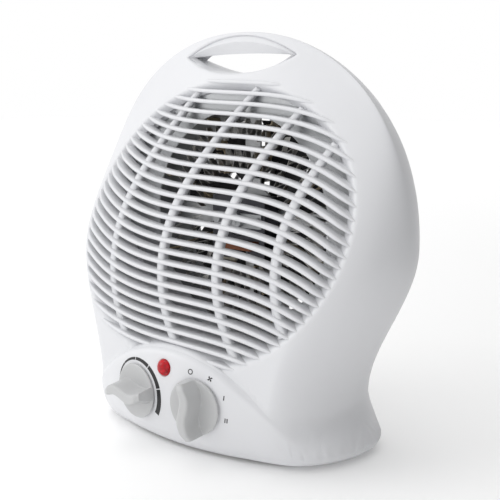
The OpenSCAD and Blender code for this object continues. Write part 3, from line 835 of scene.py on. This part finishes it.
def knob(name, joint_name, rest_deg, body, node):
    """A knob turned to its rest angle about its own joint's axis."""
    seat, axis = joint(joint_name)
    out = -axis / np.linalg.norm(axis)
    right = np.cross([0, 0, 1.0], out)
    right /= np.linalg.norm(right)
    right = -right if right[0] < 0 else right
    up = np.array([0, 0, 1.0])
    a = math.radians(rest_deg)
    along = math.sin(a) * right + math.cos(a) * up
    across = np.cross(out, along)
    radii = np.concatenate([np.linspace(0.35, KNOB_R - 1.4, 44), KNOB_R - 1.4 + 1.4 * np.sin(
        np.linspace(0.2, math.pi / 2, 7))])
    steps = 180
    t = np.linspace(0, 2 * math.pi, steps, endpoint=False)
    rings = []
    for r in radii:
        u, v = r * np.cos(t), r * np.sin(t)
        h = knob_height(u, v)
        rings.append(seat + np.outer(u, along) + np.outer(v, across) + np.outer(h, out))
    wall = [(KNOB_R, 0.6), (KNOB_R, 0.45), (KNOB_R, KNOB_GAP)]
    underside = [(KNOB_R - 2, KNOB_GAP), (KNOB_R - 2, 0.6), (5.2, 0.6), (5.2, KNOB_GAP), (3.0, KNOB_GAP)]
    for r, h in wall + underside:
        rings.append(seat + np.outer(r * np.cos(t), along) + np.outer(r * np.sin(t), across) + h * out)
    solid = Solid()
    solid.tube(rings)
    piece = solid.object(name, MATERIALS["knob_plastic"], 50)
    return finish_piece(piece, body, "knob_plastic", node)


def panel_strip(solid, points_inner, points_outer, proud=0.12, under=0.5):
    """A thin closed strip of ink that follows the panel between two rows of front-view points."""
    rings = []
    for a, b in zip(points_inner, points_outer):
        ring = []
        for p, lift in ((a, -under), (a, proud), ((a + b) / 2, proud), (b, proud), (b, -under)):
            share, _ = locate(np.array([p[0]]), np.array([p[1]]))
            y = float(skin_y(-1, np.array([p[0]]), np.array([p[1]]), share)[0])
            ring.append((p[0], y - lift, p[1]))
        rings.append(np.array(ring))
    solid.tube(rings)


def arc_points(seat, radius, degrees):
    """Front-view points round a seat, at clockwise angles from the top."""
    a = np.radians(degrees)
    return np.stack([seat[0] + radius * np.sin(a), seat[2] + radius * np.cos(a)], 1)


def thermostat_scale():
    """Growing arc round the left knob, in five blocks, with a dot at its start and a fine line below."""
    seat, _ = knob_seats["thermostat"]
    solid = Solid()
    stops = [-80, -43, -6, 31, 75, 124]
    for first, last in zip(stops[:-1], stops[1:]):
        deg = np.linspace(first + 0.9, last - 0.9, 14)
        width = 0.7 + 2.5 * smooth((deg + 95) / 200)
        inner = 18.6 + 0 * deg
        panel_strip(solid, arc_points(seat, inner, deg), arc_points(seat, inner + width, deg))
    deg = np.linspace(-138, -117, 8)
    width = 0.15 + 0.3 * np.sin(np.linspace(0, math.pi, 8))
    panel_strip(solid, arc_points(seat, 19.4, deg), arc_points(seat, 19.4 + width, deg))
    t = np.linspace(0, math.pi, 12)
    centre = arc_points(seat, 18.9, np.array([-85.5]))[0]
    left = np.stack([centre[0] - 0.75 * np.sin(t), centre[1] + 0.75 * np.cos(t)], 1)
    right = np.stack([centre[0] + 0.75 * np.sin(t), centre[1] + 0.75 * np.cos(t)], 1)
    panel_strip(solid, left[1:-1], right[1:-1])
    return finish_piece(solid.object("thermostat_scale", INK, 50), "housing", "black_plastic")


def switch_marks():
    """Off ring, fan sign, one stroke and two strokes round the right knob."""
    seat, _ = knob_seats["switch"]
    solid = Solid()
    radius = 20.6

    def place(deg):
        return arc_points(seat, radius, np.array([float(deg)]))[0]

    t = np.linspace(0, 2 * math.pi, 25)
    circle = np.stack([np.cos(t), np.sin(t)], 1)
    panel_strip(solid, place(-10) + 1.15 * circle, place(-10) + 1.65 * circle)
    c = place(28)
    for k in range(4):
        a = math.radians(90 * k + 20)
        along, side = np.array([math.cos(a), math.sin(a)]), np.array([-math.sin(a), math.cos(a)])
        s = np.linspace(0.15, 1.75, 8)
        w = 0.62 * np.sin(np.linspace(0.25, math.pi - 0.2, 8))
        centre = c + np.outer(s, along)
        panel_strip(solid, centre - np.outer(w * 0.35, side), centre + np.outer(w, side))
    for deg, offsets in ((66, (0.0,)), (104, (-0.62, 0.62))):
        c = place(deg)
        for off in offsets:
            s = np.linspace(-1.5, 1.5, 5)
            mid = c + np.array([off, 0]) + np.outer(s * 0.9, np.array([0.12, 1.0]))
            panel_strip(solid, mid - np.array([0.27, 0]), mid + np.array([0.27, 0]))
    return finish_piece(solid.object("switch_marks", INK, 50), "housing", "black_plastic")


def lamp():
    """The pilot lamp's domed lens."""
    low, high = node_box("lamp_lens")
    front, back = low[1], high[1]
    profile = [(0.05, front + 0.02)]
    for k in range(1, 9):
        a = math.radians(k * 8.8)
        radius = 5.0 * math.sin(a) / math.sin(math.radians(70.4))
        profile.append((radius, front + 3.0 * (1 - math.cos(a)) / 0.6645))
    profile += [(5.0, front + 6.0), (6.4, front + 6.0), (6.4, front + 7.6), (5.0, front + 7.6),
                (5.0, back), (3.6, back), (3.6, front + 4.2), (1.8, front + 2.6), (0.05, front + 2.2)]
    solid = Solid()
    lathe(solid, profile, (0, 0, LAMP_Z), (0, 1, 0), 48)
    piece = solid.object("lamp_dome", MATERIALS["lamp_red"], 40)
    return finish_piece(piece, "housing", "lamp_red", "lamp_lens")


# ---------------------------------------------------------------- fan
def impeller():
    """Seven twisted, cambered blades on a hub."""
    low, high = node_box("fan_impeller")
    radius = high[2] - FAN_Z
    front, back = low[1], high[1]
    solid = Solid()
    hub = [(1.6, front), (9.0, front), (10.2, front + 1.0), (10.2, back - 0.6), (9.6, back), (1.6, back)]
    lathe(solid, hub, (0, 0, FAN_Z), (0, 1, 0), 64)
    mid = (front + back) / 2
    for k in range(7):
        rings = []
        for s in np.linspace(0, 1, 18):
            r = 9.4 + (radius - 9.4) * s
            chord = math.radians(58 - 16 * s)
            lean = math.radians(k * 360 / 7 + 20 * s * s)
            rise = (back - front - 1.6) * (1 - 0.25 * s) / 2
            ring = []
            for face in (-1, 1):
                for c in np.linspace(-0.5, 0.5, 7)[::face]:
                    a = lean + c * chord
                    camber = 1.1 * (1 - (2 * c) ** 2)
                    thick = 0.7 * face * (1 - (2 * c) ** 6 * 0.7)
                    depth = mid + 2 * rise * c - camber + thick
                    ring.append((r * math.cos(a), depth, FAN_Z + r * math.sin(a)))
            rings.append(np.array(ring))
        solid.tube(rings)
    piece = solid.object("impeller_blades", MATERIALS["fan_plastic"], 40)
    return finish_piece(piece, "fan", "fan_plastic", "fan_impeller")


# ---------------------------------------------------------------- stage, light and camera
FLOOR_HALF = 6.0
CARD_X = 0.62
CARD_Y = (-0.15, 1.3)
CARD_Z = (-0.05, 1.3)


def backdrop(name, corners, material):
    """One flat sheet of the stage."""
    mesh = bpy.data.meshes.new(name)
    mesh.from_pydata(corners, [], [(0, 1, 2, 3)])
    mesh.materials.append(material)
    sheet = bpy.data.objects.new(name, mesh)
    bpy.context.scene.collection.objects.link(sheet)
    return sheet


def stage():
    """Pale floor, white surroundings, and an unseen dark card that shades the body's right side."""
    half = FLOOR_HALF
    pale, _ = principled("pale_floor", (0.9, 0.9, 0.9), 0.7,
                         Emission_Color=(1, 1, 1, 1), Emission_Strength=0.12)
    backdrop("floor", [(-half, -half, 0), (half, -half, 0), (half, half, 0), (-half, half, 0)], pale)
    dark, _ = principled("card_black", (0.03, 0.03, 0.03), 0.9)
    (near, far), (low, high) = CARD_Y, CARD_Z
    card = backdrop("dark_card", [(CARD_X, near, low), (CARD_X, far, low),
                                  (CARD_X, far, high), (CARD_X, near, high)], dark)
    card.visible_camera = False
    world = bpy.data.worlds.new("studio")
    world.use_nodes = True
    world.node_tree.nodes["Background"].inputs["Color"].default_value = (1, 1, 1, 1)
    world.node_tree.nodes["Background"].inputs["Strength"].default_value = 1.0
    bpy.context.scene.world = world
    bpy.context.scene.view_settings.view_transform = "Standard"


def area_light(name, place, target, size, power):
    """A rectangular lamp turned to face a point."""
    light = bpy.data.lights.new(name, "AREA")
    light.shape = "RECTANGLE"
    light.size, light.size_y = size
    light.energy = power
    obj = bpy.data.objects.new(name, light)
    obj.location = place
    obj.rotation_euler = (Vector(target) - Vector(place)).to_track_quat("-Z", "Y").to_euler()
    bpy.context.scene.collection.objects.link(obj)


CAMERA_LENS = 62.5
CAMERA_PLACE = (0.3439, -0.3994, 0.2127)
CAMERA_AZIMUTH = 38.3
CAMERA_PITCH = 10.2


def camera():
    data = bpy.data.cameras.new("view")
    data.lens = CAMERA_LENS
    data.sensor_width = 36
    obj = bpy.data.objects.new("view", data)
    obj.location = CAMERA_PLACE
    azimuth, pitch = math.radians(CAMERA_AZIMUTH), math.radians(CAMERA_PITCH)
    obj.rotation_euler = (math.pi / 2 - pitch, 0, azimuth)
    bpy.context.scene.collection.objects.link(obj)
    bpy.context.scene.camera = obj


def dress_cad_nodes():
    """Gives every CAD node that stays visible its slot's material."""
    for row in frame["record"]["subparts"]:
        node = frame["nodes"][row["node"]]
        material = MATERIALS[row["material_slot"]]
        for slot in node.material_slots:
            slot.material = material
        if not node.material_slots:
            node.data.materials.append(material)


stage()
body_middle = (0, 0, 0.13)
area_light("key", (-1.1, -1.0, 0.9), body_middle, (0.9, 0.9), 5)
area_light("top", (-0.3, -0.2, 1.4), body_middle, (0.8, 0.8), 2)
camera()
dress_cad_nodes()
front_cover()
rear_cover()
knob("thermostat_grip", "thermostat_turn", -95, "thermostat_dial", "thermostat_knob")
knob("switch_grip", "switch_turn", -8, "switch_dial", "switch_knob")
thermostat_scale()
switch_marks()
lamp()
impeller()
